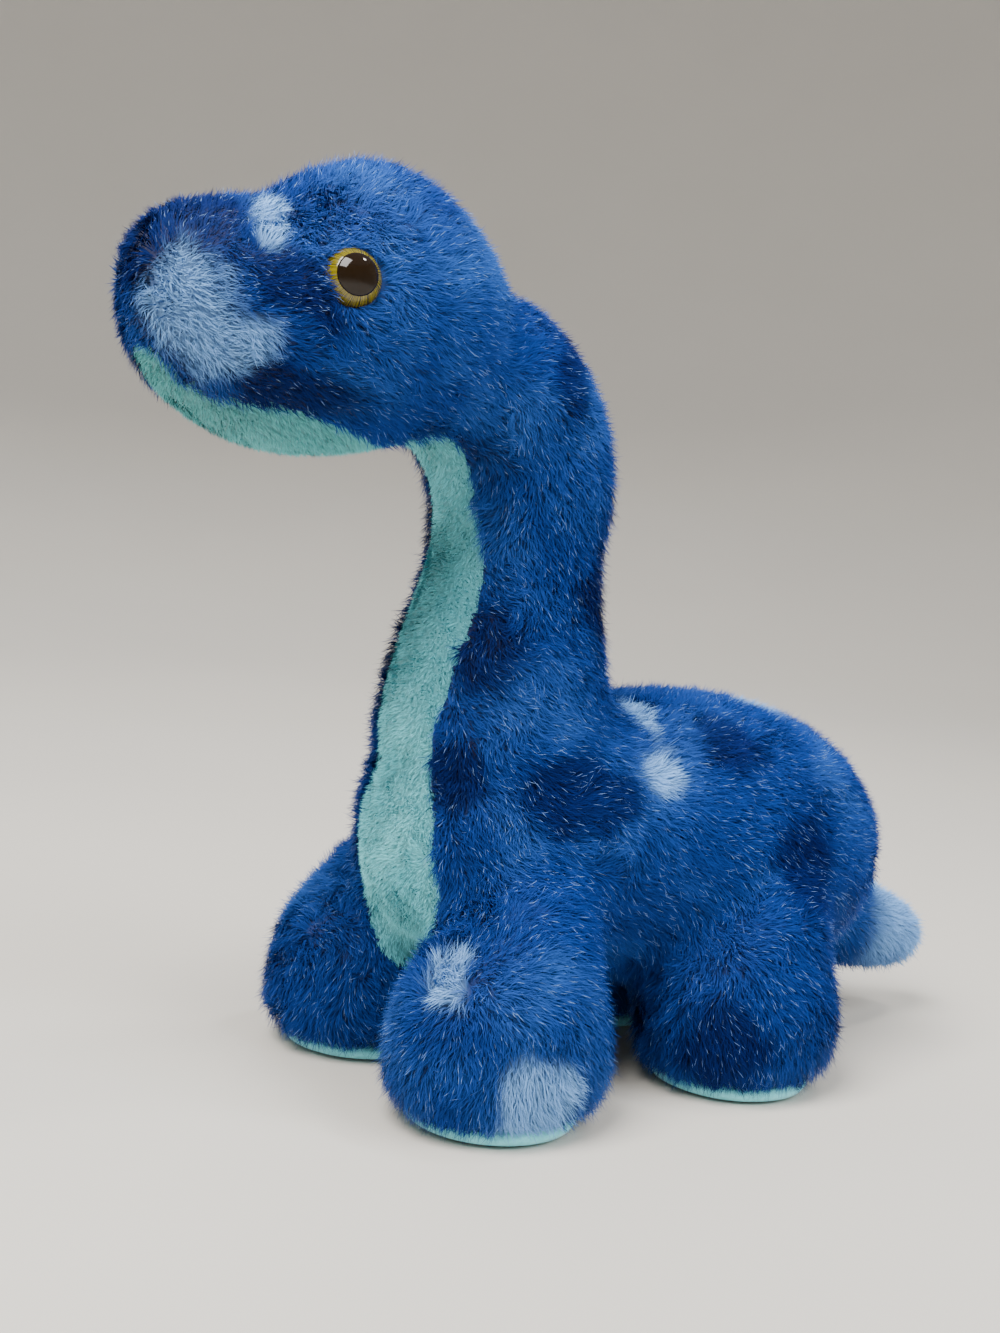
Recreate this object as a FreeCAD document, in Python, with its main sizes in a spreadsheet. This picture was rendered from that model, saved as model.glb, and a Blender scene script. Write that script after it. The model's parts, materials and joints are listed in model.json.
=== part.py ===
import FreeCAD, Part
import Sketcher
import math
import os

# Stuffed long-necked dinosaur, standing on four feet.
# Frame: +Z up, the nose points to -Y, the animal's left side is +X.
# The origin is on the floor, under the middle of the outer box.
# Every soft body is a stuffed form, turned about an axis of its own: a coat of sewn panels,
# as thick as the backing and its pile, and a fill packed inside the coat.
# Neighbouring bodies meet in ball sockets centred on their hinges.

os.makedirs("parts", exist_ok=True)
doc = FreeCAD.newDocument("StuffedDinosaur")
sheet = doc.addObject("Spreadsheet::Sheet", "Dimensions")

# Driving dimensions in millimetres, and angles in degrees.
DIMENSIONS = {
    "coat_thickness": 4.0,
    "fill_clearance": 0.3,
    "seam_gap": 0.2,
    "joint_clearance": 0.6,
    "chest_along": -20.0,
    "chest_height": 58.0,
    "chest_radius": 36.0,
    "rump_along": 63.0,
    "rump_radius": 39.0,
    "neck_set_forward": 5.0,
    "neck_seat_share": 0.286,
    "neck_ball_radius": 28.0,
    "neck_length": 74.0,
    "neck_lean_angle": 16.5,
    "head_ball_radius": 20.5,
    "head_relief_angle": 20.0,
    "crown_radius": 33.0,
    "crown_ahead": 22.0,
    "crown_rise": 10.0,
    "muzzle_ahead": 58.0,
    "muzzle_rise": 3.5,
    "muzzle_radius": 23.0,
    "tail_root_angle": 41.3,
    "tail_seat_share": 0.41,
    "tail_ball_radius": 14.0,
    "tail_relief_angle": 20.0,
    "tail_droop_angle": 20.0,
    "tail_length": 34.0,
    "tail_tip_radius": 7.0,
    "leg_spacing_half": 30.0,
    "front_leg_along": -36.0,
    "rear_leg_along": 38.0,
    "leg_hinge_height": 34.0,
    "leg_ball_radius": 20.0,
    "leg_relief_angle": 23.0,
    "foot_radius": 23.5,
    "foot_edge_radius": 8.0,
    "hem_height": 2.0,
    "pad_thickness": 3.5,
    "pad_edge_radius": 1.2,
    "pad_inset": 4.0,
    "belly_half_width": 13.0,
    "belly_slope_angle": 48.0,
    "throat_half_width": 12.5,
    "gusset_half_width": 12.0,
    "gusset_rise": 1.0,
    "chin_drop": 8.5,
    "chin_slope_angle": 14.0,
    "eye_ahead": 19.0,
    "eye_rise": 3.0,
    "eye_out_share": 0.758,
    "eye_turn_angle": 79.0,
    "eye_tilt_angle": 10.0,
    "eye_diameter": 13.0,
    "eye_dome_height": 5.0,
    "pupil_diameter": 9.2,
    "pupil_thickness": 0.5,
    "shank_diameter": 3.6,
    "shank_length": 10.0,
    "washer_diameter": 12.0,
    "washer_thickness": 1.4,
    "washer_depth": 7.0,
}

# Sizes that follow from the others. The neck sits a share of its ball's radius above the chest,
# the tail's root a share of its ball's radius inside the rump, and the head follows the neck.
DERIVED = {
    "rump_height": "chest_height",
    "neck_hinge_along": "chest_along - neck_set_forward",
    "neck_hinge_height": "chest_height + chest_radius + neck_seat_share * neck_ball_radius",
    "head_hinge_along": "neck_hinge_along - neck_length * sin(neck_lean_angle)",
    "head_hinge_height": "neck_hinge_height + neck_length * cos(neck_lean_angle)",
    "crown_along": "head_hinge_along - crown_ahead",
    "crown_height": "head_hinge_height + crown_rise",
    "muzzle_along": "head_hinge_along - muzzle_ahead",
    "muzzle_height": "head_hinge_height + muzzle_rise",
    "tail_reach": "rump_radius - tail_seat_share * tail_ball_radius",
    "tail_hinge_along": "rump_along + tail_reach * cos(tail_root_angle)",
    "tail_hinge_height": "rump_height - tail_reach * sin(tail_root_angle)",
    "gusset_height": "crown_height + gusset_rise",
    "chin_front_height": "muzzle_height - chin_drop",
    "eye_along": "crown_along - eye_ahead",
    "eye_height": "crown_height + eye_rise",
    "eye_out": "crown_radius * eye_out_share",
}

REACH = 300.0  # longer than the toy, for tools that must pass right through it
SIDES = {"left": 1, "right": -1}
ROWS = ("front", "rear")
UP = FreeCAD.Vector(0, 0, 1)
ACROSS = FreeCAD.Vector(1, 0, 0)
FINISHED = []


def write_sheet():
    """Put every size in the sheet, one row each, under its own alias."""
    rows = {alias: str(value) for alias, value in DIMENSIONS.items()}
    rows.update({alias: f"={formula}" for alias, formula in DERIVED.items()})
    for number, (alias, content) in enumerate(rows.items(), start=1):
        sheet.set(f"A{number}", alias)
        sheet.set(f"B{number}", content)
        sheet.setAlias(f"B{number}", alias)
        doc.recompute()


def size(alias):
    """The value of one size."""
    return float(sheet.get(alias))


def cell(alias):
    """How an expression names one of the sheet's values."""
    return f"Dimensions.{alias}"


def bind(item, **expressions):
    """Tie properties of an object to expressions of the sheet's values."""
    for name, expression in expressions.items():
        item.setExpression(name.replace("__", "."), expression)
    return item


def add(kind, name, **expressions):
    """A document object of one kind, with its sizes tied to the sheet."""
    return bind(doc.addObject(kind, name), **expressions)


def cut(name, base, tool):
    """base without tool."""
    item = doc.addObject("Part::Cut", name)
    item.Base = base
    item.Tool = tool
    return item


def common(name, base, tool):
    """What base and tool share."""
    item = doc.addObject("Part::Common", name)
    item.Base = base
    item.Tool = tool
    return item


def fuse(name, shapes):
    """Several shapes as one."""
    item = doc.addObject("Part::MultiFuse", name)
    item.Shapes = shapes
    return item


def middle_plane_point(name):
    """A point of the body's middle plane, named by its place along and its height."""
    return FreeCAD.Vector(0, size(f"{name}_along"), size(f"{name}_height"))


def slanted(angle):
    """A direction to the rear, raised by an angle."""
    radians = math.radians(angle)
    return FreeCAD.Vector(0, math.cos(radians), math.sin(radians))


def form_ends(form):
    """The middles and radii of the two balls that a form is stretched over."""
    if form == "torso":
        ends = [middle_plane_point("chest"), middle_plane_point("rump")]
        radii = [size("chest_radius"), size("rump_radius")]
    elif form == "head":
        ends = [middle_plane_point("muzzle"), middle_plane_point("crown")]
        radii = [size("muzzle_radius"), size("crown_radius")]
    elif form == "neck":
        ends = [middle_plane_point("head_hinge"), middle_plane_point("neck_hinge")]
        radii = [size("head_ball_radius"), size("neck_ball_radius")]
    else:
        root = middle_plane_point("tail_hinge")
        ends = [root, root + slanted(-size("tail_droop_angle")) * size("tail_length")]
        radii = [size("tail_ball_radius"), size("tail_tip_radius")]
    return ends, radii


def form_axis(form):
    """Where a form's axis starts and which way it runs."""
    if form == "leg":
        return UP * size("leg_hinge_height"), -UP
    ends = form_ends(form)[0]
    return ends[0], (ends[1] - ends[0]).normalize()


def arc(middle, radius, start_angle, end_angle):
    """An arc in the XZ plane, by its angles above the X axis."""
    angles = (start_angle, (start_angle + end_angle) / 2, end_angle)
    points = [middle + FreeCAD.Vector(math.cos(a), 0, math.sin(a)) * radius for a in angles]
    return Part.Arc(*points).toShape(), points[0], points[2]


def half_outline(form, inset):
    """Half of a form's lengthwise section: X is the radius, and Z runs along the axis.

    Two round ends are joined by the straight line that touches both. A leg's lower end is
    a flat hem with a rounded edge.
    """
    first = FreeCAD.Vector()
    if form == "leg":
        edge = size("foot_edge_radius")
        length = size("leg_hinge_height") - size("hem_height") - edge
        second = FreeCAD.Vector(size("foot_radius") - edge, 0, length)
        radii = [size("leg_ball_radius") - inset, edge - inset]
    else:
        ends, full_radii = form_ends(form)
        second = FreeCAD.Vector(0, 0, (ends[1] - ends[0]).Length)
        radii = [radius - inset for radius in full_radii]
    span = second - first
    heading = math.atan2(span.z, span.x)
    touch = heading - math.acos((radii[0] - radii[1]) / span.Length)
    start_arc, pole, leave = arc(first, radii[0], -math.pi / 2, touch)
    end_arc, arrive, last = arc(second, radii[1], touch, math.pi / 2)
    edges = [start_arc, Part.makeLine(leave, arrive), end_arc]
    foot = FreeCAD.Vector(0, 0, last.z)
    if form == "leg":
        edges.append(Part.makeLine(last, foot))
    edges.append(Part.makeLine(foot, pole))
    return Part.Face(Part.Wire(edges))


def turned(form, name, inset):
    """The solid of a form, drawn smaller all round by the inset."""
    start, way = form_axis(form)
    outline = doc.addObject("Part::Feature", f"{form}_{name}_outline")
    outline.Shape = half_outline(form, inset)
    # The outline stands above the axis, so the turned surface closes there and not on a flank.
    upright = FreeCAD.Rotation(UP, way).multiply(FreeCAD.Rotation(UP, -90.0))
    outline.Placement = FreeCAD.Placement(start, upright)
    item = doc.addObject("Part::Revolution", f"{form}_{name}_form")
    item.Source = outline
    item.Axis = way
    item.Base = start
    item.Angle = 360.0
    item.Solid = True
    return item


def ball_room(name, joint, hinge):
    """The ball-shaped room that a joint's ball turns in."""
    item = add("Part::Sphere", name, Radius=f"{cell(joint + '_ball_radius')} + {cell('joint_clearance')}")
    item.Placement.Base = hinge
    return item


def swing_room(name, joint, hinge, way):
    """The rooms that a neighbour's ball and its swing take out of a form.

    The swing's room is a cone that touches the ball's room and opens along the neighbour.
    """
    angle = cell(joint + "_relief_angle")
    room = f"({cell(joint + '_ball_radius')} + {cell('joint_clearance')})"
    reach = cell("leg_hinge_height") if joint == "leg" else f"2 * {cell(joint + '_ball_radius')}"
    length = f"({reach} + {room} * sin({angle}))"
    narrow = f"{room} * cos({angle})"
    wide = f"{narrow} + {length} * tan({angle})"
    cone = add("Part::Cone", f"{name}_relief", Radius1=narrow, Radius2=wide, Height=length)
    set_back = (size(joint + "_ball_radius") + size("joint_clearance")) * math.sin(
        math.radians(size(joint + "_relief_angle"))
    )
    cone.Placement = FreeCAD.Placement(hinge - way * set_back, FreeCAD.Rotation(UP, way))
    return [ball_room(f"{name}_ball", joint, hinge), cone]


def leg_rooms(name):
    """The rooms that the four legs' balls and swings take out of the torso."""
    rooms = []
    for row in ROWS:
        for side, sign in SIDES.items():
            hinge = FreeCAD.Vector(
                sign * size("leg_spacing_half"), size(row + "_leg_along"), size("leg_hinge_height")
            )
            rooms += swing_room(f"{name}_{row}_{side}", "leg", hinge, -UP)
    return rooms


def slab(name, half_width, along, heights, turn, pivot):
    """A block centred across the body, turned about the X axis through a pivot."""
    item = doc.addObject("Part::Box", name)
    item.Length = 2 * half_width
    item.Width = along[1] - along[0]
    item.Height = heights[1] - heights[0]
    spin = FreeCAD.Rotation(ACROSS, turn)
    corner = FreeCAD.Vector(-half_width, along[0], heights[0])
    item.Placement = FreeCAD.Placement(pivot + spin.multVec(corner), spin)
    return item


def half_space(name, sign):
    """Everything on one side of the body, short of the middle by half a seam."""
    item = slab(name, REACH / 2, (-REACH, REACH), (-REACH, REACH), 0.0, FreeCAD.Vector())
    item.Placement.Base.x = size("seam_gap") / 2 if sign > 0 else -REACH - size("seam_gap") / 2
    return item


def publish(item, label):
    """Give a finished sub-part the label that names its file."""
    item.Label = label
    FINISHED.append(item)
    return item


def layers(form, carve=None):
    """A form's coat and its fill, with the neighbours' rooms carved out of both."""
    inset = size("coat_thickness")
    whole = turned(form, "whole", 0.0)
    hollow = turned(form, "hollow", inset)
    coat = cut(f"{form}_coat", whole, hollow)
    fill = turned(form, "stuffing", inset + size("fill_clearance"))
    if carve:
        rooms = fuse(f"{form}_rooms", carve(form))
        coat = cut(f"{form}_coat_carved", coat, rooms)
        fill = cut(f"{form}_fill_carved", fill, rooms)
    return coat, fill


def side_panels(form, skin, strips):
    """The left and right panels: what is left of the skin beside its middle strips."""
    flanks = skin
    for number, strip in enumerate(strips):
        flanks = cut(f"{form}_flanks_{number}", flanks, strip)
    for side, sign in SIDES.items():
        half = half_space(f"{form}_{side}_half", sign)
        publish(common(f"{form}_{side}_panel", flanks, half), f"{form}_side_{side}")


def strip_pair(name, half_width, along, heights, turn, pivot):
    """The cutter of a middle panel, and one larger by a seam all round."""
    seam = size("seam_gap")
    panel = slab(f"{name}_cutter", half_width, along, heights, turn, pivot)
    room = slab(
        f"{name}_seam_cutter",
        half_width + seam,
        (along[0] - seam, along[1] + seam),
        (heights[0] - seam, heights[1] + seam),
        turn,
        pivot,
    )
    return panel, room


def torso_rooms(form):
    """What the neck, the tail and the legs take out of the torso."""
    neck_room = ball_room(f"{form}_neck_room", "neck", middle_plane_point("neck_hinge"))
    tail_start, tail_way = form_axis("tail")
    tail_rooms = swing_room(f"{form}_tail", "tail", tail_start, tail_way)
    return [neck_room] + tail_rooms + leg_rooms(f"{form}_leg")


def build_torso():
    """Body of the animal: two side panels, the chest and belly panel, and the fill."""
    coat, fill = layers("torso", torso_rooms)
    # The belly panel lies below a line from the base of the throat to between the hind legs.
    waist = (middle_plane_point("chest") + middle_plane_point("rump")) / 2
    width = size("belly_half_width")
    slope = -size("belly_slope_angle")
    panel, room = strip_pair("belly", width, (-REACH, REACH), (-REACH, 0.0), slope, waist)
    publish(common("belly", coat, panel), "belly_panel")
    side_panels("torso", coat, [room])
    publish(fill, "torso_fill")


def build_neck():
    """Neck: two side panels, the throat panel and the fill, ending in a ball at both hinges."""
    coat, fill = layers("neck")
    foot = middle_plane_point("neck_hinge")
    way = form_axis("neck")[1]
    lean = math.degrees(math.atan2(way.y, -way.z))
    width = size("throat_half_width")
    panel, room = strip_pair("throat", width, (-REACH, 0.0), (-REACH, REACH), lean, foot)
    publish(common("throat", coat, panel), "throat_panel")
    side_panels("neck", coat, [room])
    publish(fill, "neck_fill")


def head_rooms(form):
    """What the neck's upper ball and its swing take out of the head."""
    neck_start, neck_way = form_axis("neck")
    return swing_room(f"{form}_neck", "head", neck_start, neck_way)


def build_head():
    """Head: two side panels, the gusset over the top, the chin panel, the fill and the eyes."""
    coat, fill = layers("head", head_rooms)
    coat = cut("head_coat_pierced", coat, eye_rooms("coat"))
    fill = cut("head_fill_pierced", fill, eye_rooms("fill"))
    nose = FreeCAD.Vector(0, size("muzzle_along") - size("muzzle_radius"), 0)
    level = size("gusset_height")
    width = size("gusset_half_width")
    gusset, gusset_room = strip_pair("gusset", width, (-REACH, REACH), (level, REACH), 0.0, nose)
    corner = FreeCAD.Vector(0, nose.y, size("chin_front_height"))
    slope = -size("chin_slope_angle")
    chin, chin_room = strip_pair("chin", REACH, (-REACH, REACH), (-REACH, 0.0), slope, corner)
    publish(common("gusset", coat, gusset), "head_gusset")
    publish(common("chin", coat, chin), "chin_panel")
    side_panels("head", coat, [gusset_room, chin_room])
    publish(fill, "head_fill")
    for side, sign in SIDES.items():
        build_eye(side, sign)


def eye_placement(sign):
    """Where an eye's seat is, with +Z looking out of the head."""
    turn = math.radians(size("eye_turn_angle"))
    tilt = math.radians(size("eye_tilt_angle"))
    look = FreeCAD.Vector(
        sign * math.sin(turn) * math.cos(tilt), -math.cos(turn) * math.cos(tilt), math.sin(tilt)
    )
    seat = FreeCAD.Vector(sign * size("eye_out"), size("eye_along"), size("eye_height"))
    return FreeCAD.Placement(seat, FreeCAD.Rotation(UP, look))


def eye_sphere(name, extra):
    """The ball that a dome of the stated width and height is the cap of."""
    wide = cell("eye_diameter")
    tall = cell("eye_dome_height")
    radius = f"({wide} * {wide} / 4 + {tall} * {tall}) / (2 * {tall})"
    item = add("Part::Sphere", name, Radius=f"{radius} + {extra}")
    return bind(item, Placement__Base__z=f"{tall} - {radius}")


def rod(name, radius, low, high):
    """A cylinder along the eye's axis between two heights."""
    item = add("Part::Cylinder", name, Radius=radius, Height=f"{high} - ({low})")
    return bind(item, Placement__Base__z=low)


def build_eye(side, sign):
    """One safety eye: a dome on a shank, the pupil on top, and the washer that locks it."""
    seat = eye_placement(sign)
    inside = f"0 - {cell('shank_length')}"
    above = rod(f"eye_{side}_above", cell("eye_diameter"), "0", cell("eye_diameter"))
    dome = common(f"eye_{side}_dome", eye_sphere(f"eye_{side}_ball", "0"), above)
    shank_radius = f"{cell('shank_diameter')} / 2"
    shank = rod(f"eye_{side}_shank", shank_radius, inside, f"{cell('eye_dome_height')} / 2")
    eye = fuse(f"eye_{side}_moulding", [dome, shank])
    eye.Placement = seat
    publish(eye, f"eye_{side}")
    film = cell("fill_clearance") + " / 10"
    outside = eye_sphere(f"pupil_{side}_outside", cell("pupil_thickness"))
    shell = cut(f"pupil_{side}_shell", outside, eye_sphere(f"pupil_{side}_inside", film))
    bore = rod(f"pupil_{side}_disc", f"{cell('pupil_diameter')} / 2", "0", cell("eye_diameter"))
    pupil = common(f"pupil_{side}_cap", shell, bore)
    pupil.Placement = seat
    publish(pupil, f"pupil_{side}")
    publish(washer_body(side, seat), f"eye_washer_{side}")


def sketch_on_floor(body, name):
    """An empty sketch on the body's own XY plane."""
    plane = next(item for item in body.Origin.OriginFeatures if item.Role == "XY_Plane")
    sketch = body.newObject("Sketcher::SketchObject", name)
    sketch.AttachmentSupport = [(plane, "")]
    sketch.MapMode = "FlatFace"
    return sketch


def add_circle(sketch, expression, start_diameter):
    """A circle about the sketch's origin whose diameter follows an expression."""
    number = sketch.addGeometry(Part.Circle(FreeCAD.Vector(), UP, start_diameter / 2), False)
    sketch.addConstraint(Sketcher.Constraint("Coincident", number, 3, -1, 1))
    row = sketch.addConstraint(Sketcher.Constraint("Diameter", number, start_diameter))
    sketch.setExpression(f"Constraints[{row}]", expression)


def washer_body(side, seat):
    """The lock washer: a disc padded from a sketch of two circles about the shank."""
    body = doc.addObject("PartDesign::Body", f"washer_{side}")
    sketch = sketch_on_floor(body, f"washer_{side}_sketch")
    for alias in ("washer_diameter", "shank_diameter"):
        add_circle(sketch, cell(alias), size(alias))
    pad = body.newObject("PartDesign::Pad", f"washer_{side}_pad")
    pad.Profile = sketch
    pad.setExpression("Length", cell("washer_thickness"))
    inwards = FreeCAD.Placement(UP * -size("washer_depth"), FreeCAD.Rotation())
    body.Placement = seat.multiply(inwards)
    return body


def eye_rooms(layer):
    """What the two eyes take out of the coat or out of the fill."""
    play = cell("fill_clearance")
    outside = cell("eye_diameter")
    rooms = []
    for side, sign in SIDES.items():
        shank_end = f"0 - {cell('shank_length')} - {play}"
        slim = rod(f"{layer}_{side}_shank_room", f"{cell('shank_diameter')} / 2 + {play}", shank_end, outside)
        if layer == "coat":
            wide = rod(f"coat_{side}_dome_room", f"{outside} / 2 + {play}", f"0 - {play}", outside)
        else:
            low = f"0 - {cell('washer_depth')} - {play}"
            wide = rod(f"fill_{side}_washer_room", f"{cell('washer_diameter')} / 2 + {play}", low, outside)
        room = fuse(f"{layer}_{side}_eye_room", [slim, wide])
        room.Placement = eye_placement(sign)
        rooms.append(room)
    return fuse(f"{layer}_eye_rooms", rooms)


def build_tail():
    """Tail: an upper and a lower panel about the fill, on a ball at its root."""
    coat, fill = layers("tail")
    root = middle_plane_point("tail_hinge")
    seam = size("seam_gap") / 2
    droop = -size("tail_droop_angle")
    spans = {"upper": (seam, REACH), "lower": (-REACH, -seam)}
    for name, heights in spans.items():
        half = slab(f"tail_{name}_half", REACH, (-REACH, REACH), heights, droop, root)
        publish(common(f"tail_{name}_cover", coat, half), f"tail_{name}_panel")
    publish(fill, "tail_fill")


def pad_body(row, side):
    """A sole: a round pad with its lower edge rounded, flat on the floor."""
    body = doc.addObject("PartDesign::Body", f"pad_{row}_{side}")
    sketch = sketch_on_floor(body, f"pad_{row}_{side}_sketch")
    diameter = f"2 * ({cell('foot_radius')} - {cell('pad_inset')})"
    add_circle(sketch, diameter, 2 * (size("foot_radius") - size("pad_inset")))
    pad = body.newObject("PartDesign::Pad", f"pad_{row}_{side}_pad")
    pad.Profile = sketch
    pad.setExpression("Length", cell("pad_thickness"))
    doc.recompute()
    rims = [number for number, edge in enumerate(pad.Shape.Edges, start=1)
            if len(edge.Vertexes) == 1 and edge.CenterOfMass.z < size("pad_thickness") / 2]
    rounded = body.newObject("PartDesign::Fillet", f"pad_{row}_{side}_edge")
    rounded.Base = (pad, [f"Edge{rims[0]}"])
    rounded.setExpression("Radius", cell("pad_edge_radius"))
    return body


def leg_pattern():
    """The cover and the fill that all four legs share, standing at the origin."""
    coat, fill = layers("leg")
    play = cell("fill_clearance")
    seat = f"{cell('pad_thickness')} + {play}"
    pad_radius = f"{cell('foot_radius')} - {cell('pad_inset')} + {play}"
    pad_room = rod("leg_pad_room", pad_radius, "0", seat)
    under = rod("leg_under", f"2 * {cell('foot_radius')}", "0", seat)
    patterns = {"cover": cut("leg_cover", coat, pad_room), "fill": cut("leg_stuffing", fill, under)}
    doc.recompute()
    return patterns


def build_legs():
    """Two pairs of legs: at each place a cover tube, its fill and a sole pad."""
    patterns = leg_pattern()
    for row in ROWS:
        for side, sign in SIDES.items():
            spot = FreeCAD.Vector(sign * size("leg_spacing_half"), size(row + "_leg_along"), 0)
            place = FreeCAD.Placement(spot, FreeCAD.Rotation())
            for name, pattern in patterns.items():
                copy = doc.addObject("Part::Feature", f"{row}_{side}_{name}")
                copy.Shape = pattern.Shape
                copy.Placement = place
                publish(copy, f"leg_{name}_{row}_{side}")
            pad = pad_body(row, side)
            pad.Placement = place
            publish(pad, f"foot_pad_{row}_{side}")


def check_document():
    """Stop before anything is written if an object failed or a sub-part is not sound."""
    for item in doc.Objects:
        faults = {"Invalid", "Error"} & set(item.State)
        if faults:
            raise RuntimeError(f"{item.Label} is {faults}")
    for item in FINISHED:
        if item.Shape.isNull() or not item.Shape.isValid() or not item.Shape.Solids:
            raise RuntimeError(f"{item.Label} has no sound solid")


def export_parts():
    """Write each sub-part to a file named after its label."""
    for item in FINISHED:
        item.Shape.exportStep(f"parts/{item.Label}.step")
        count = len(item.Shape.Solids)
        print(f"{item.Label}: {count} solid(s), {item.Shape.Volume / 1000:.2f} cm3")


write_sheet()
build_torso()
build_neck()
build_head()
build_tail()
build_legs()
doc.recompute()
check_document()
export_parts()
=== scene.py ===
import json
import math

import bpy
import bmesh
import numpy as np
from mathutils import Matrix, Vector


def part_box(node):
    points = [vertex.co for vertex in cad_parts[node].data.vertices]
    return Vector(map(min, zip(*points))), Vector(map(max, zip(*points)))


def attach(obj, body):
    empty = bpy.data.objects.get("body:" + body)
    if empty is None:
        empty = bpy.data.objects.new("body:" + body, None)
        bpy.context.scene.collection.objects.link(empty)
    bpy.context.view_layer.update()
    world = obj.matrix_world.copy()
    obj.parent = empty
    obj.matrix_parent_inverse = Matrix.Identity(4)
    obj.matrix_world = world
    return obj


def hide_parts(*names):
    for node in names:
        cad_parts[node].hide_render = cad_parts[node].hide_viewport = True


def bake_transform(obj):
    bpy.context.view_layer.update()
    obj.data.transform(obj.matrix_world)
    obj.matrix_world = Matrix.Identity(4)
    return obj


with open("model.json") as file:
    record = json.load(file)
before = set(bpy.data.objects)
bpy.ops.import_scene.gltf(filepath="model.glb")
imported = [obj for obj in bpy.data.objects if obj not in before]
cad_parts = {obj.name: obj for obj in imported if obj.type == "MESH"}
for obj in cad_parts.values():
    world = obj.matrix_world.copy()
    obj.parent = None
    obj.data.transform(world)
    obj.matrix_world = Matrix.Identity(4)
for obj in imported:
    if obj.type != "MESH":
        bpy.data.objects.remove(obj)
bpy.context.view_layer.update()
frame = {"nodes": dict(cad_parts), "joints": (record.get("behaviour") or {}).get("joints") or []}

# Looks of the stuffed long-necked dinosaur. Lengths and places on the toy are millimetres, and MM
# turns them into the scene's metres. -Y is towards the nose, and +X is the animal's left.
MM = 0.001
SIDES = ("left", "right")
ROWS = ("front", "rear")
LEGS = tuple(f"leg_{row}_{side}" for row in ROWS for side in SIDES)
BODIES = ("torso", "neck", "head", "tail") + LEGS
HINGES = {joint["child"]: np.array(joint["pos_m"]) / MM for joint in frame["joints"]}
# The torso has no hinge of its own, so the middle of its fill stands in.
HINGES["torso"] = np.array(sum((Vector(corner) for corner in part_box("torso_fill")), Vector())) / 2 / MM

BACKING_DEPTH = 2.6  # how far the backing cloth lies under the outline of the pile
CLOTH_STEP = 4.0  # grid of the simulated cloth
CLOTH_REACH = 2.0  # the furthest that the simulation may move the cloth
CLOTH_PRESSURE = 4.0
CLOTH_FRAMES = 20
FLOOR_CLEARANCE = 0.3  # no strand hangs lower than this, and the cloth stays twice as high
STUFFING_DEPTH = 3.0  # how far the fill lies under the backing cloth
LUMP_HEIGHT = 0.6
LUMP_SPACING = 9
LUMP_SEED = 11
RANDOM = np.random.default_rng(7)

# Outline of each form, as oval sections: place along Y and height from the form's hinge,
# half width, half depth and tilt about X. A tilt of 90 stands a section up across the body.
OUTLINES = {
    "torso": [
        (-78, 1, 9, 10, 90), (-74, 3, 20, 22, 90), (-61, 4, 31, 31, 90), (-43, 3, 34, 35, 90),
        (-18, 1, 35, 37, 90), (9, 0.5, 37.5, 38.5, 90), (34, -1.5, 38.5, 37.5, 90), (52, -3.5, 34, 34, 90),
        (66, -4.5, 26, 26, 90), (75, -4.5, 15, 15, 90), (79, -4.5, 7, 6, 90),
    ],
    "neck": [
        (0, -20, 30, 31, 0), (0, 2, 26.5, 27.5, 0), (1, 18, 23, 24, 0), (2, 30, 22, 22.5, 4),
        (3, 40, 22.5, 23.5, 10), (-2, 56, 22.5, 24.5, 25), (-13, 69, 22, 24, 38), (-21, 77, 18, 19, 45),
    ],
    "head": [
        (-81.5, 9, 7, 8, 90), (-78.5, 8, 15, 15, 90), (-70, 5.5, 21, 22.5, 90),
        (-58, 3.5, 25, 27, 90), (-50, 3, 27, 28.5, 90), (-42, 5.5, 29, 32, 90), (-28.5, 8.5, 31, 34, 90),
        (-16.5, 9.5, 31, 32, 90), (-4.5, 7.5, 27, 26.5, 90), (4.5, 5.5, 19, 20, 90), (11, 3, 9, 9, 90),
    ],
    "tail": [
        (-10, 4, 14, 13, -110), (7, -4, 14.5, 14, -110), (24, -9, 14, 13, -110),
        (38, -13, 11.5, 10.5, -110), (47, -15, 6, 6, -110), (50, -16, 3, 3, -110),
    ],
    "leg": [
        (6, 22, 10, 11, 0), (4, 11, 17, 18, 0), (0, -1, 21.5, 24.5, 0), (0, -12, 24, 28, 0),
        (0, -23, 24, 28, 0), (0, -30, 20.5, 24, 0), (0, -33, 10, 12, 0),
    ],
}

# Where the cloth of each body starts and how far it can lie from the body's hinge.
HEAD_WAY = np.array((0.0, -0.6, 0.8))  # from the neck to the head, square to where they part
HEAD_SPAN = (-35.0, -10.0)  # from the head's hinge: neck before the first, head past the second
NECK_SPAN = (-10.0, 14.0)  # heights from the neck's hinge between which the cloth bends
HEAD_LOWEST = 25  # height from the neck's hinge: cloth below it isn't the head's
NECK_BACK = 37  # how far behind the neck's hinge its cloth can lie
TAIL_WAY = np.array((0.0, 0.94, -0.342))
TAIL_SPAN = (3.0, 16.0)  # from the tail's hinge, along the tail
TAIL_ASIDE = 18  # how far from the tail's own line its cloth can lie
LEG_SPAN = (-3.0, -22.0)  # heights from a leg's hinge between which the cloth bends
LEG_ASIDE = 25  # how far from a leg's hinge its cloth can lie, across the animal
LEG_ALONG = 30  # and along the animal

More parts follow.
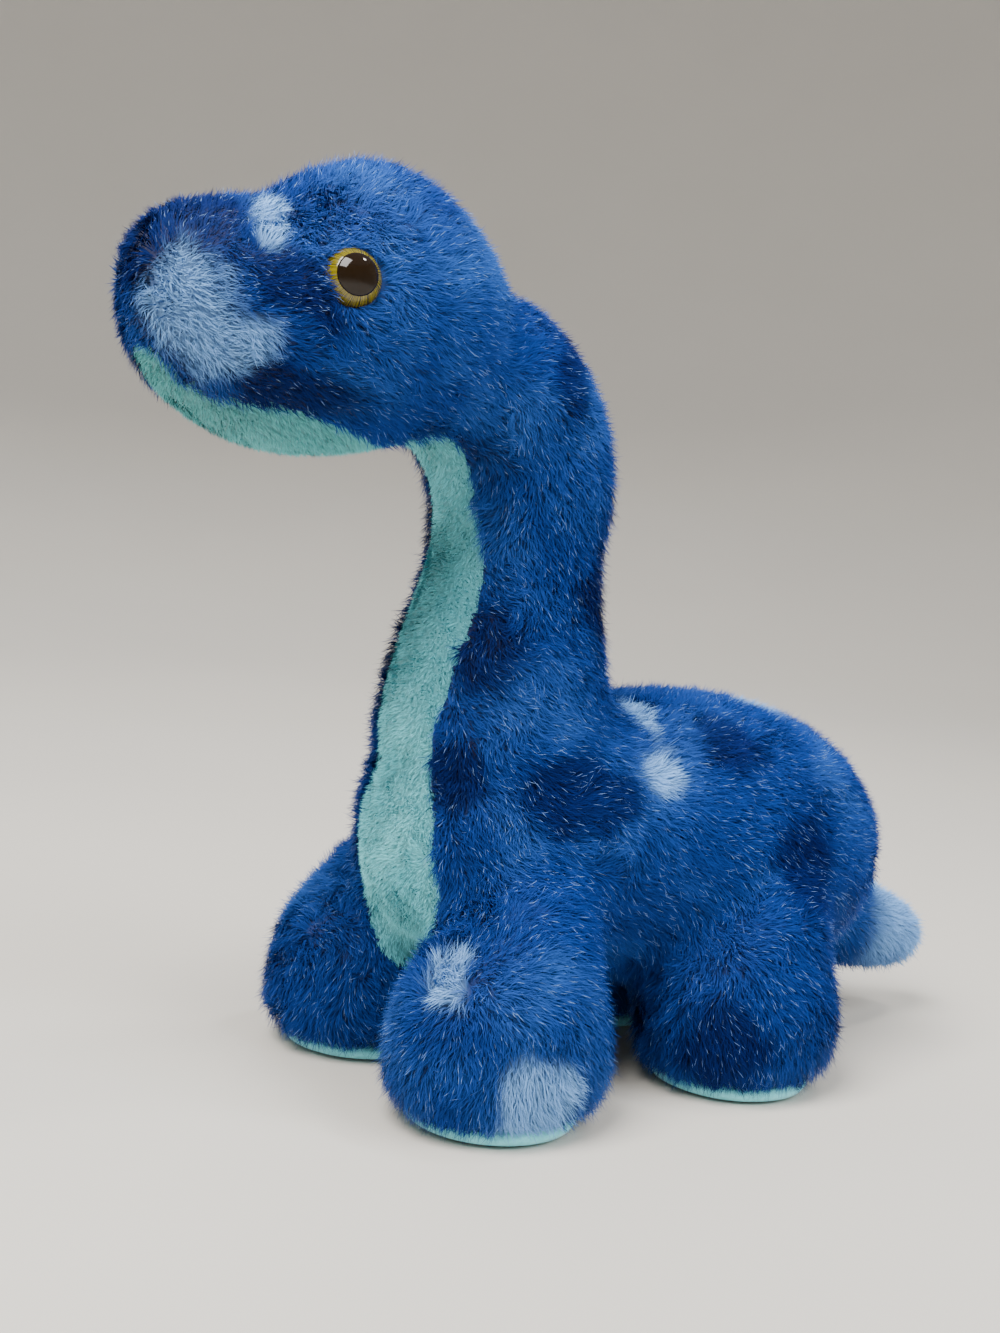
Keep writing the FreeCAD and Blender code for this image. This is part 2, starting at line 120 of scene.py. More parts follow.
# The pale panel: its half width at each height, and the level of its edge along the chin.
THROAT_HEIGHTS = (22, 36, 52, 65, 76, 86, 96, 110, 126, 142, 155)
THROAT_HALF_WIDTHS = (8, 14, 18, 16, 12, 11.5, 12.8, 13, 12, 8.5, 10)
THROAT_TOP = 160
CHIN_PLACES = (-126, -120, -116, -110, -96, -83, -72, -60)
CHIN_LEVELS = (173, 166.5, 162, 158.8, 158.5, 156.2, 154, 152)
CHIN_START = 12  # how far past the start of the head's cloth the chin begins
CHIN_BACK = -14  # from the head's hinge: the chin lies further forward than this
BELLY_BACK = 96  # from the head's hinge: the belly panel ends here
FACING_FORWARD = -0.12  # the panel's normals point forward or down by more than these
FACING_DOWN = -0.35

# Pile. A strand has two points at its root, two at its bend and one at its tip.
STRANDS_PER_MM2 = 5.2
MINT_STRANDS_PER_MM2 = 6.0
STRAND_WIDTH = 0.24
MINT_STRAND_SHARE = 0.8  # width of a mint strand beside a blue one
STRAND_TAPER = 0.8  # width at the bend beside the width at the root
STRAND_POINTS = 5
STRAND_CORNERS = (0, 1, 2, 3, 3, 2, 4)  # a quad and a triangle
STRAND_FACE_STARTS = (0, 4)
STRAND_ALONG = (0.0, 0.0, 0.5, 0.5, 1.0)  # how far along the strand each point is
STRAND_MAP = ((0.1, 0.1), (0.9, 0.1), (0.9, 0.5), (0.1, 0.5), (0.1, 0.5), (0.9, 0.5), (0.5, 0.9))
ROOT_DEPTH = 0.4  # how far the root goes into the cloth
BEFORE_BEND = 0.45  # share of the length from root to bend
AFTER_BEND = 0.55
BLUE_LIFT = 0.72  # how upright the strands stand
MINT_LIFT = 1.0
LIFT_SPREAD = 0.18
ROOT_LEAN = 0.55  # how far a strand follows the combed way below its bend
TIP_LEAN = 0.9  # and above it
ROOT_RISE = 0.45  # how much steeper it stands below its bend
TIP_LIFT = 0.6  # share of its uprightness that it keeps above
TIP_STRAY = 1.6
STRAY = 0.20  # how far a strand leaves the combed way
TWIST = 0.45  # how far it turns about its own length
PILE_LENGTH = 5.4
MINT_PILE_LENGTH = 1.9
HEAD_TRIM = 0.8  # how much shorter the pile is on the head
MUZZLE_TRIM = 1.0  # how much shorter still on the muzzle
MUZZLE_SPAN = (35, 70)  # from the head's hinge, forward
FOOT_EXTRA = 1.2  # how much longer round the feet
FOOT_HEIGHTS = (6, 22)
LENGTH_SPREAD = (0.7, 1.12)
OWN_SHADING = 0.3  # how far a strand's shading follows its own faces
CLOTH_SHADING = 0.7  # and how far it follows the cloth under it

# The way the pile is combed on each part, and where each part's combing takes over.
HEAD_COMB = (0, 0.93, -0.30)
NECK_COMB = (0, 0.25, -1)
LEG_COMB = (0, 0.1, -1)
TORSO_COMB = (0, 0.75, -0.62)
LEAST_TORSO_COMB = 0.05  # the torso's combing never quite fades, so that every point has a way
HEAD_COMB_EXTRA = 8  # how far past the end of the neck's cloth the head's combing is whole
NECK_COMB_HEIGHTS = (-20, 8)  # from the neck's hinge
NECK_COMB_BACK = 45  # behind the neck's hinge
LEG_COMB_HEIGHTS = (22, 40)  # from the floor
TAIL_COMB_SPAN = (0, 12)  # from the tail's hinge, along the tail
TAIL_COMB_TOP = 50  # from the floor
SWIRLS = ((0.45, 26, 3), (0.30, 9, 5))  # strength, spacing and seed of the waves in the combing

# Eyes and soles. A profile is a list of radii and heights, turned about the piece's axis.
EYE_WIDTH = 13.0
DOME_HEIGHT = 5.0
DOME_SINK = 0.5  # how far the dome sits back from the eye's seat
EYE_AHEAD = 6.3  # from the middle of the washer to the eye's seat
EYE_ROOM = 6.0  # no strand stands this near the eye's axis
EYE_ROOM_DEPTH = -12  # unless it stands further behind the seat than this
SHANK_PROFILE = [(0.0, -9.0), (1.6, -9.0), (1.8, -8.6), (1.8, -0.6), (6.1, -0.6), (6.5, -0.25)]
DOME_STEPS = 14
PUPIL_RADIUS = 4.65
PUPIL_STEPS = 40  # steps in the dome that the pupil follows
PUPIL_RISE = 0.22  # how far the pupil's cap stands off the dome
PUPIL_DEPTH = 0.4  # how far it is set into the dome
SOLE_PROFILE = [(0.0, 0.0), (14.0, 0.0), (17.5, 0.25), (19.6, 1.1), (20.3, 2.4), (19.6, 3.8), (16.0, 4.6),
                (0.0, 4.8)]
SOLE_FORWARD = 1  # how far a sole's middle lies ahead of the leg's hinge
SOLE_ROOM = 17  # no strand stands within this radius under a foot
SOLE_ROOM_HEIGHT = 5

# Stage, in metres and degrees: the camera, the floor, and for each light its name, azimuth,
# elevation, distance, size, power, colour and whether glossy surfaces mirror it.
CAMERA_ANGLES = (55, 6, 5)  # azimuth, elevation and roll
CAMERA_AIM = (0, -24, 102)  # a place on the toy, in millimetres
CAMERA_DISTANCE = 0.42
CAMERA_LENS = 46.3  # millimetres, as is the sensor
CAMERA_SENSOR = 36.0
CAMERA_NEAR = 0.01
LIGHT_AIM_HEIGHT = 0.1
FLOOR_FLAT = 0.9
FLOOR_INNER = 0.95  # a ring just inside the flat's edge keeps the shading even
FLOOR_CURVE = 1.4
BACKDROP_TOP = 2.6
FLOOR_SEGMENTS = 96
FLOOR_STEPS = 40
LIGHTS = [
    ("key", 20, 55, 1.1, 0.6, 27, (1.0, 0.98, 0.95), True),
    ("side", 115, 40, 1.1, 0.7, 13, (0.92, 0.96, 1.0), False),
    ("fill", 60, 8, 1.6, 1.2, 3, (1.0, 1.0, 1.0), False),
    ("lamp", 155, 65, 1.1, 0.12, 3, (1.0, 0.97, 0.92), True),
    ("rear", 250, 40, 1.3, 1.0, 7, (1.0, 1.0, 1.0), False),
]
SURROUND = (0.85, 0.88, 0.95, 1.0)
SURROUND_STRENGTH = 0.4


def metres(point):
    """A point in millimetres as a vector in metres."""
    return Vector([float(value) * MM for value in point])


def smoothstep(value, low, high):
    """0 below low, 1 above high, and smooth between."""
    t = np.clip((value - low) / (high - low), 0.0, 1.0)
    return t * t * (3 - 2 * t)


# ---------------------------------------------------------------- shapes

def oval(section, hinge, count=40):
    """The points of one oval section, in millimetres."""
    along, height, half_width, half_depth, tilt = section
    angle = np.linspace(0, 2 * np.pi, count, endpoint=False)
    turn = math.radians(tilt)
    flat = half_depth * np.sin(angle)
    x = hinge[0] + half_width * np.cos(angle)
    y = hinge[1] + along + flat * math.cos(turn)
    z = hinge[2] + height + flat * math.sin(turn)
    return np.stack((x, y, z), axis=1)


def dense_sections(sections, steps=4):
    """The sections with smooth in-between ones (a Catmull-Rom curve through the table)."""
    table = np.array(sections, float)
    out = []
    for index in range(len(table) - 1):
        a, b = table[max(index - 1, 0)], table[index]
        c, d = table[index + 1], table[min(index + 2, len(table) - 1)]
        for step in range(steps):
            t = step / steps
            out.append(0.5 * (2 * b + (c - a) * t + (2 * a - 5 * b + 4 * c - d) * t**2
                              + (3 * b - a - 3 * c + d) * t**3))
    out.append(table[-1])
    return out


def add_form(mesh, sections, hinge):
    """A closed tube through the sections, added to a bmesh."""
    rings = []
    for section in dense_sections(sections):
        rings.append([mesh.verts.new(metres(point)) for point in oval(section, hinge)])
    for low, high in zip(rings, rings[1:]):
        for index, vert in enumerate(low):
            after = (index + 1) % len(low)
            mesh.faces.new((vert, low[after], high[after], high[index]))
    mesh.faces.new(rings[0][::-1])
    mesh.faces.new(rings[-1])


def object_of(name, mesh_data):
    """A new object in the scene."""
    item = bpy.data.objects.new(name, mesh_data)
    bpy.context.scene.collection.objects.link(item)
    return item


def apply_modifiers(item):
    """Replace an object's mesh by what its modifiers make of it."""
    graph = bpy.context.evaluated_depsgraph_get()
    made = bpy.data.meshes.new_from_object(item.evaluated_get(graph))
    item.modifiers.clear()
    item.data = made


def whole_skin():
    """The backing cloth of the whole animal as one closed mesh."""
    mesh = bmesh.new()
    for form in ("torso", "neck", "head", "tail"):
        add_form(mesh, OUTLINES[form], HINGES[form])
    for leg in LEGS:
        add_form(mesh, OUTLINES["leg"], HINGES[leg])
    bmesh.ops.recalc_face_normals(mesh, faces=mesh.faces)
    data = bpy.data.meshes.new("skin")
    mesh.to_mesh(data)
    mesh.free()
    skin = object_of("skin", data)
    remesh = skin.modifiers.new("one cloth", "REMESH")
    remesh.mode = "VOXEL"
    remesh.voxel_size = CLOTH_STEP / 2 * MM
    soften = skin.modifiers.new("soft junctions", "SMOOTH")
    soften.factor = 0.5
    soften.iterations = 10
    apply_modifiers(skin)
    sink(skin, BACKING_DEPTH)
    return skin


def vertex_arrays(data):
    """A mesh's vertex positions, in millimetres, and its vertex normals."""
    count = len(data.vertices)
    place = np.empty(count * 3)
    data.vertices.foreach_get("co", place)
    normal = np.empty(count * 3)
    data.vertex_normals.foreach_get("vector", normal)
    return place.reshape(-1, 3) / MM, normal.reshape(-1, 3)


def face_arrays(data):
    """A mesh's face centres, in millimetres, and its face normals."""
    count = len(data.polygons)
    centre = np.empty(count * 3)
    data.polygons.foreach_get("center", centre)
    normal = np.empty(count * 3)
    data.polygons.foreach_get("normal", normal)
    return centre.reshape(-1, 3) / MM, normal.reshape(-1, 3)


def set_places(data, place):
    """Move a mesh's vertices to positions in millimetres."""
    data.vertices.foreach_set("co", (place * MM).ravel())
    data.update()


def sink(item, depth):
    """Move a surface inwards."""
    place, normal = vertex_arrays(item.data)
    set_places(item.data, place - normal * depth)


def stuff_cloth(skin):
    """Let the fill press the cloth out, so that it swells between its seams and creases."""
    cloth_mesh = object_of("cloth", skin.data.copy())
    remesh = cloth_mesh.modifiers.new("grid", "REMESH")
    remesh.mode = "VOXEL"
    remesh.voxel_size = CLOTH_STEP * MM
    apply_modifiers(cloth_mesh)
    before, _ = vertex_arrays(cloth_mesh.data)
    cloth = cloth_mesh.modifiers.new("stuffed", "CLOTH")
    settings = cloth.settings
    settings.use_pressure = True
    settings.uniform_pressure_force = CLOTH_PRESSURE
    settings.quality = 5
    settings.mass = 0.2
    settings.tension_stiffness = 20
    settings.compression_stiffness = 20
    settings.bending_stiffness = 0.3
    settings.effector_weights.gravity = 0.0
    cloth.point_cache.frame_start = 1
    cloth.point_cache.frame_end = CLOTH_FRAMES
    for number in range(1, CLOTH_FRAMES + 1):
        bpy.context.scene.frame_set(number)
    apply_modifiers(cloth_mesh)
    bpy.context.scene.frame_set(1)
    after, _ = vertex_arrays(cloth_mesh.data)
    move = after - before
    length = np.maximum(np.linalg.norm(move, axis=1, keepdims=True), 1e-6)
    set_places(cloth_mesh.data, before + move * np.minimum(1.0, CLOTH_REACH / length))
    finer = cloth_mesh.modifiers.new("finer", "SUBSURF")
    finer.levels = finer.render_levels = 1
    apply_modifiers(cloth_mesh)
    place, _ = vertex_arrays(cloth_mesh.data)
    place[:, 2] = np.maximum(place[:, 2], 2 * FLOOR_CLEARANCE)
    set_places(cloth_mesh.data, place)
    bpy.data.objects.remove(skin)
    return cloth_mesh


# ---------------------------------------------------------------- regions

def head_reach(place):
    """How far a point is past the head's hinge, towards the head."""
    return (place - HINGES["head"]) @ HEAD_WAY


def body_of_point(place):
    """The number in BODIES of the body whose cloth a point belongs to."""
    found = np.zeros(len(place), int)
    above = place[:, 2] - HINGES["neck"][2]
    neck = (above > NECK_SPAN[0]) & (place[:, 1] < HINGES["neck"][1] + NECK_BACK)
    found[neck] = BODIES.index("neck")
    found[neck & (head_reach(place) > HEAD_SPAN[0]) & (above > HEAD_LOWEST)] = BODIES.index("head")
    from_tail = place - HINGES["tail"]
    past = from_tail @ TAIL_WAY
    aside = np.linalg.norm(from_tail - np.outer(past, TAIL_WAY), axis=1)
    found[(past > TAIL_SPAN[0]) & (aside < TAIL_ASIDE)] = BODIES.index("tail")
    for leg in LEGS:
        off = np.abs(place - HINGES[leg])
        low = place[:, 2] - HINGES[leg][2] < LEG_SPAN[0]
        found[low & (off[:, 0] < LEG_ASIDE) & (off[:, 1] < LEG_ALONG)] = BODIES.index(leg)
    return found


def is_mint(place, normal):
    """Whether a point lies on the pale chin, throat, chest or belly panel."""
    x, y, z = place.T
    along = y - HINGES["head"][1]
    chin_level = np.interp(y, CHIN_PLACES, CHIN_LEVELS)
    chin = (head_reach(place) > HEAD_SPAN[0] + CHIN_START) & (z < chin_level) & (along < CHIN_BACK)
    half_width = np.interp(z, THROAT_HEIGHTS, THROAT_HALF_WIDTHS)
    facing = (normal[:, 1] < FACING_FORWARD) | (normal[:, 2] < FACING_DOWN)
    level = (z < THROAT_TOP) & (z > THROAT_HEIGHTS[0])
    front = (np.abs(x) < half_width) & facing & (along < BELLY_BACK) & level
    return chin | front


# ---------------------------------------------------------------- pile

def wave_noise(place, scale, seed, waves=6):
    """Smooth noise of three components, about -1 to 1, made from crossed waves."""
    draw = np.random.default_rng(seed)
    total = np.zeros((len(place), 3))
    for _ in range(waves):
        wave = draw.normal(size=(3, 3)) * (2 * np.pi / scale)
        total += np.sin(place @ wave + draw.uniform(0, 2 * np.pi, 3))
    return total / math.sqrt(waves)


def combed(place, normal):
    """The way the pile lies at each point: back along the head and body, down the neck and legs."""
    head = smoothstep(head_reach(place), HEAD_SPAN[0], HEAD_SPAN[1] + HEAD_COMB_EXTRA)
    above = place[:, 2] - HINGES["neck"][2]
    neck = smoothstep(above, *NECK_COMB_HEIGHTS) * (1 - head)
    neck *= place[:, 1] < HINGES["neck"][1] + NECK_COMB_BACK
    leg = smoothstep(-place[:, 2], -LEG_COMB_HEIGHTS[1], -LEG_COMB_HEIGHTS[0])
    tail = smoothstep((place - HINGES["tail"]) @ TAIL_WAY, *TAIL_COMB_SPAN) * (place[:, 2] < TAIL_COMB_TOP)
    torso = np.clip(1 - head - neck - leg - tail, LEAST_TORSO_COMB, 1)
    ways = ((head, HEAD_COMB), (neck, NECK_COMB), (leg, LEG_COMB), (tail, TAIL_WAY), (torso, TORSO_COMB))
    way = sum(np.outer(weight, direction) for weight, direction in ways)
    way += sum(strength * wave_noise(place, spacing, seed) for strength, spacing, seed in SWIRLS)
    way -= normal * np.sum(way * normal, axis=1, keepdims=True)
    return way / np.maximum(np.linalg.norm(way, axis=1, keepdims=True), 1e-6)


def pile_length(place, mint):
    """How long the pile is at each point."""
    length = np.full(len(place), PILE_LENGTH)
    forward = HINGES["head"][1] - place[:, 1]
    on_head = smoothstep(head_reach(place), HEAD_SPAN[0], HEAD_SPAN[1])
    length -= on_head * (HEAD_TRIM + MUZZLE_TRIM * smoothstep(forward, *MUZZLE_SPAN))
    length += FOOT_EXTRA * smoothstep(-place[:, 2], -FOOT_HEIGHTS[1], -FOOT_HEIGHTS[0])
    length[mint] = MINT_PILE_LENGTH
    return length * RANDOM.uniform(*LENGTH_SPREAD, len(place))


def scatter(data, density_of):
    """Random root points over a mesh, with their smooth normals."""
    data.calc_loop_triangles()
    place, normal = vertex_arrays(data)
    corners = np.empty(len(data.loop_triangles) * 3, int)
    data.loop_triangles.foreach_get("vertices", corners)
    corners = corners.reshape(-1, 3)
    a, b, c = (place[corners[:, index]] for index in range(3))
    area = np.linalg.norm(np.cross(b - a, c - a), axis=1) / 2
    chance = area * density_of((a + b + c) / 3, normal[corners].mean(axis=1))
    count = int(chance.sum())
    chosen = np.searchsorted(np.cumsum(chance), RANDOM.uniform(0, chance.sum(), count))
    chosen = np.minimum(chosen, len(corners) - 1)
    u, v = RANDOM.uniform(size=(2, count))
    flip = u + v > 1
    u[flip], v[flip] = 1 - u[flip], 1 - v[flip]
    weight = np.stack((1 - u - v, u, v), axis=1)[:, :, None]
    roots = (place[corners[chosen]] * weight).sum(axis=1)
    ways = (normal[corners[chosen]] * weight).sum(axis=1)
    return roots, ways / np.linalg.norm(ways, axis=1, keepdims=True)


def strand_points(roots, normals, mint):
    """Five points for each strand: two at the root, two at the bend and one at the tip."""
    way = combed(roots, normals)
    length = pile_length(roots, mint)[:, None]
    lift = np.where(mint, MINT_LIFT, BLUE_LIFT)[:, None]
    lift = lift + LIFT_SPREAD * RANDOM.normal(size=(len(roots), 1))
    stray = STRAY * RANDOM.normal(size=roots.shape)
    start = way * ROOT_LEAN + normals * (lift + ROOT_RISE) + stray
    start /= np.linalg.norm(start, axis=1, keepdims=True)
    finish = way * TIP_LEAN + normals * lift * TIP_LIFT + stray * TIP_STRAY
    finish /= np.linalg.norm(finish, axis=1, keepdims=True)
    middle = roots + start * length * BEFORE_BEND
    tip = middle + finish * length * AFTER_BEND
    across = np.cross(way, normals) + TWIST * RANDOM.normal(size=roots.shape)
    across /= np.linalg.norm(across, axis=1, keepdims=True)
    half = across * STRAND_WIDTH / 2 * np.where(mint, MINT_STRAND_SHARE, 1.0)[:, None]
    narrow = half * STRAND_TAPER
    root = roots - normals * ROOT_DEPTH
    points = np.stack((root - half, root + half, middle + narrow, middle - narrow, tip), axis=1)
    points[:, :, 2] = np.maximum(points[:, :, 2], FLOOR_CLEARANCE)
    return points


def strand_mesh(name, roots, normals, mint):
    """One mesh of strands, each a narrow leaf of a quad and a triangle."""
    points = strand_points(roots, normals, mint)
    count = len(roots)
    data = bpy.data.meshes.new(name)
    data.vertices.add(count * STRAND_POINTS)
    data.vertices.foreach_set("co", (points * MM).reshape(-1))
    strand = np.arange(count)[:, None]
    loops = (strand * STRAND_POINTS + np.array(STRAND_CORNERS)).ravel()
    data.loops.add(len(loops))
    data.loops.foreach_set("vertex_index", loops)
    starts = (strand * len(STRAND_CORNERS) + np.array(STRAND_FACE_STARTS)).ravel()
    data.polygons.add(len(starts))
    data.polygons.foreach_set("loop_start", starts)
    data.update(calc_edges=True)
    places = np.repeat(roots * MM, STRAND_POINTS, axis=0)
    set_point_attribute(data, "root", "FLOAT_VECTOR", "vector", places)
    set_point_attribute(data, "along", "FLOAT", "value", np.tile(STRAND_ALONG, count))
    tone = np.repeat(RANDOM.uniform(0, 1, count), STRAND_POINTS)
    set_point_attribute(data, "tone", "FLOAT", "value", tone)
    add_strand_map(data, count)
    soften_normals(data, np.repeat(normals, STRAND_POINTS, axis=0))
    return data


def set_point_attribute(data, name, kind, field, values):
    """Write one value per vertex as a named attribute."""
    layer = data.attributes.new(name, kind, "POINT")
    layer.data.foreach_set(field, np.asarray(values, np.float32).ravel())


def add_strand_map(data, count):
    """A map with a small place of its own for every strand, laid out in rows."""
    per_row = int(math.ceil(math.sqrt(count)))
    step = 1.0 / per_row
    column, row = np.arange(count) % per_row, np.arange(count) // per_row
    corner = np.stack((column, row), axis=1)[:, None, :] * step
    layer = data.uv_layers.new(name="OFBake")
    layer.data.foreach_set("uv", (corner + np.array(STRAND_MAP) * step).astype(np.float32).ravel())


def soften_normals(data, surface):
    """Bend the strands' shading towards the cloth's own, so that the pile shades softly."""
    own = np.empty(len(data.vertices) * 3)
    data.vertex_normals.foreach_get("vector", own)
    own = own.reshape(-1, 3)
    own *= np.where(np.sum(own * surface, axis=1, keepdims=True) < 0, -1.0, 1.0)
    mixed = own * OWN_SHADING + surface * CLOTH_SHADING
    mixed /= np.maximum(np.linalg.norm(mixed, axis=1, keepdims=True), 1e-6)
    data.normals_split_custom_set_from_vertices(mixed.tolist())


# ---------------------------------------------------------------- materials

def node_material(name, roughness, **values):
    """A new material, its Principled shader and its node tree."""
    material = bpy.data.materials.new(name)
    material.use_nodes = True
    shader = material.node_tree.nodes["Principled BSDF"]
    shader.inputs["Roughness"].default_value = roughness
    for key, value in values.items():
        shader.inputs[key.replace("_", " ")].default_value = value
    return material, shader, material.node_tree


def math_node(tree, operation, first, second=None, third=None, clamp=False):
    """A math node; each input is a number or another node's output."""
    node = tree.nodes.new("ShaderNodeMath")
    node.operation = operation
    node.use_clamp = clamp
    for socket, value in zip(node.inputs, (first, second, third)):
        if value is None:
            continue
        if isinstance(value, (int, float)):
            socket.default_value = value
        else:
            tree.links.new(value, socket)
    return node.outputs[0]


def mix_colour(tree, factor, first, second):
    """Blend two colours; each is a colour or another node's output."""
    node = tree.nodes.new("ShaderNodeMix")
    node.data_type = "RGBA"
    for socket, value in ((node.inputs[0], factor), (node.inputs[6], first), (node.inputs[7], second)):
        if isinstance(value, (int, float)):
            socket.default_value = value
        elif isinstance(value, tuple):
            socket.default_value = (*value, 1.0)
        else:
            tree.links.new(value, socket)
    return node.outputs[2]


def stretch(tree, value, gain, shift):
    """A value scaled and shifted, then kept between 0 and 1."""
    return math_node(tree, "MULTIPLY_ADD", value, gain, shift, clamp=True)


def attribute_node(tree, name, output):
    """A mesh attribute as a node's output."""
    node = tree.nodes.new("ShaderNodeAttribute")
    node.attribute_name = name
    return node.outputs[output]


def noise(tree, place, scale, detail=2.0, output="Fac"):
    """Noise at a place, with a scale in waves to the metre."""
    node = tree.nodes.new("ShaderNodeTexNoise")
    node.inputs["Scale"].default_value = scale
    node.inputs["Detail"].default_value = detail
    tree.links.new(place, node.inputs["Vector"])
    return node.outputs[output]


def warped(tree, place, amount, scale):
    """A place pushed about by noise, so that dyed edges run unevenly."""
    wobble = noise(tree, place, scale, output="Color")
    shift = tree.nodes.new("ShaderNodeVectorMath")
    shift.operation = "MULTIPLY_ADD"
    tree.links.new(wobble, shift.inputs[0])
    shift.inputs[1].default_value = (2 * amount,) * 3
    shift.inputs[2].default_value = (-amount,) * 3
    total = tree.nodes.new("ShaderNodeVectorMath")
    total.operation = "ADD"
    tree.links.new(place, total.inputs[0])
    tree.links.new(shift.outputs[0], total.inputs[1])
    return total.outputs[0]


def patch(tree, place, centre, radii, softness):
    """1 inside an ellipsoid given in millimetres, and 0 outside it."""
    offset = tree.nodes.new("ShaderNodeVectorMath")
    offset.operation = "SUBTRACT"
    tree.links.new(place, offset.inputs[0])
    offset.inputs[1].default_value = metres(centre)
    scaled = tree.nodes.new("ShaderNodeVectorMath")
    scaled.operation = "DIVIDE"
    tree.links.new(offset.outputs[0], scaled.inputs[0])
    scaled.inputs[1].default_value = metres(radii)
    size = tree.nodes.new("ShaderNodeVectorMath")
    size.operation = "LENGTH"
    tree.links.new(scaled.outputs[0], size.inputs[0])
    ramp = tree.nodes.new("ShaderNodeMapRange")
    ramp.interpolation_type = "SMOOTHSTEP"
    tree.links.new(size.outputs["Value"], ramp.inputs["Value"])
    ramp.inputs["From Min"].default_value = 1.0 + softness
    ramp.inputs["From Max"].default_value = 1.0 - softness
    return ramp.outputs[0]


ROYAL = (0.005, 0.035, 0.215)
# Mid blue of the lighter runs, partly dye and partly painted sheen.
MID_BLUE = (0.021, 0.088, 0.350)
NAVY = (0.0, 0.004, 0.070)
PALE_BLUE = (0.200, 0.420, 0.800)
MINT = (0.230, 0.780, 0.860)
MINT_SHADE = (0.140, 0.600, 0.680)
# Painted shade under the chin, in a deeper, darker green.
PAINTED_CHIN_SHADE = (0.080, 0.330, 0.310)
# Painted shade of the backing cloth under the pile.
BACKING_PAINTED_SHADE = (0.0, 0.0, 0.02)
# Painted glints on the tips of a few strands.
GLINT = (0.28, 0.46, 0.80)
SILKY = (0.35, 0.55, 1.0, 1.0)
IRIS_DARK = (0.022, 0.018, 0.001)
IRIS_GOLD = (0.230, 0.185, 0.002)
IRIS_EDGE = (0.025, 0.013, 0.002)
PUPIL_BLACK = ((0.006, 0.003, 0.001), (0.012, 0.006, 0.002))
WHITE_FIBRE = ((0.86, 0.86, 0.84), (0.70, 0.70, 0.68))
WASHER_WHITE = ((0.82, 0.82, 0.82), (0.78, 0.78, 0.78))
FLOOR_PALE = ((0.60, 0.57, 0.52), (0.57, 0.54, 0.49))

# Grain of the dyed cloth, in waves to the metre, and how far and finely its edges wander.
BLOTCH_WOBBLE = (7 * MM, 75.0)
POOL_WOBBLE = (4 * MM, 60.0)
RUN_SCALE = 34.0
POOL_SCALE = 22.0
MINT_SCALE = 60.0
POOL_STRENGTH = 0.7
NAVY_STRENGTH = 0.85
PALE_STRENGTH = 0.95
# The patch of painted shade under the chin, and how far it darkens the mint.
CHIN_SHADE_PATCH = ((0, -95, 158), (32, 48, 16), 0.35)
CHIN_SHADE_STRENGTH = 0.65

# Dyed blotches: centre and radii in millimetres in the frame, and how soft the edge is.
PALE_PATCHES = [
    ((13, -118, 177), (10, 8, 9.5), 0.30),
    ((17, -110, 170), (8, 9, 6), 0.40),
    ((12, -101, 195), (8, 5.5, 7), 0.25),
    ((26, 8, 80), (7, 6, 6.5), 0.30),
    ((15, 9, 91), (9, 3, 5), 0.35),
    ((50, -39, 14), (7, 8, 8), 0.35),
    ((35, -54, 35), (7, 5, 3), 0.35),
    ((0, 124, 31), (22, 22, 15), 0.35),
    ((-20, -112, 184), (12, 10, 11), 0.30),
    ((-36, 30, 80), (12, 10, 12), 0.35),
    ((-44, -46, 16), (12, 9, 9), 0.35),
    ((-46, 50, 20), (10, 10, 9), 0.35),
    ((2, 62, 96), (14, 9, 8), 0.35),
]
NAVY_PATCHES = [
    ((5, -117, 191), (16, 15, 11), 0.25),
    ((21, -101, 185), (6, 9, 8), 0.35),
    ((24, -94, 179), (5, 6, 5), 0.35),
    ((22, -100, 161), (9, 18, 6), 0.35),
    ((17, -46, 79), (8, 8, 7.5), 0.20),
    ((28, -20, 75), (11, 18, 10), 0.25),
    ((38, 47, 56), (11, 10, 14), 0.30),
    ((23, 30, 85), (11, 11, 9), 0.30),
    ((12, -25, 170), (12, 8, 12), 0.35),
    ((16, -11, 122), (12, 8, 9), 0.35),
    ((18, -40, 108), (9, 9, 10), 0.35),
    ((44, 22, 17), (12, 10, 10), 0.35),
    ((0, 118, 10), (18, 24, 7), 0.35),
    ((-34, 0, 66), (14, 20, 12), 0.30),
    ((-30, 64, 74), (18, 15, 14), 0.30),
    ((-28, -84, 164), (14, 16, 10), 0.35),
    ((-18, -20, 130), (12, 12, 14), 0.35),
]


def dyed_blue(tree, place):
    """Tie-dyed blues: royal blue, lighter runs that are partly dye and partly painted sheen, darker runs,
    and the pale and navy blotches.
    """
    warp = warped(tree, place, *BLOTCH_WOBBLE)
    # Lighter runs towards mid blue: partly dye and partly painted sheen.
    lighter = stretch(tree, noise(tree, warp, RUN_SCALE, 3.0), 4.5, -2.1)
    colour = mix_colour(tree, lighter, ROYAL, MID_BLUE)
    pools = noise(tree, warped(tree, place, *POOL_WOBBLE), POOL_SCALE, 2.0)
    darker = stretch(tree, pools, 6.0, -3.6)
    colour = mix_colour(tree, math_node(tree, "MULTIPLY", darker, POOL_STRENGTH), colour, NAVY)
    dyes = ((NAVY_PATCHES, NAVY, NAVY_STRENGTH), (PALE_PATCHES, PALE_BLUE, PALE_STRENGTH))
    for patches, dye, strength in dyes:
        for centre, radii, softness in patches:
            inside = patch(tree, warp, centre, radii, softness)
            colour = mix_colour(tree, math_node(tree, "MULTIPLY", inside, strength), colour, dye)
    return colour


def plain_mint(tree, place):
    """Pale blue-green, a little uneven, and darkened towards a deeper green under the chin as painted
    shade.
    """
    uneven = stretch(tree, noise(tree, place, MINT_SCALE, 3.0), 2.4, -0.7)
    colour = mix_colour(tree, uneven, MINT, MINT_SHADE)
    # The chin is darkened towards a deeper green as painted shade.
    chin = patch(tree, place, *CHIN_SHADE_PATCH)
    return mix_colour(tree, math_node(tree, "MULTIPLY", chin, CHIN_SHADE_STRENGTH), colour, PAINTED_CHIN_SHADE)


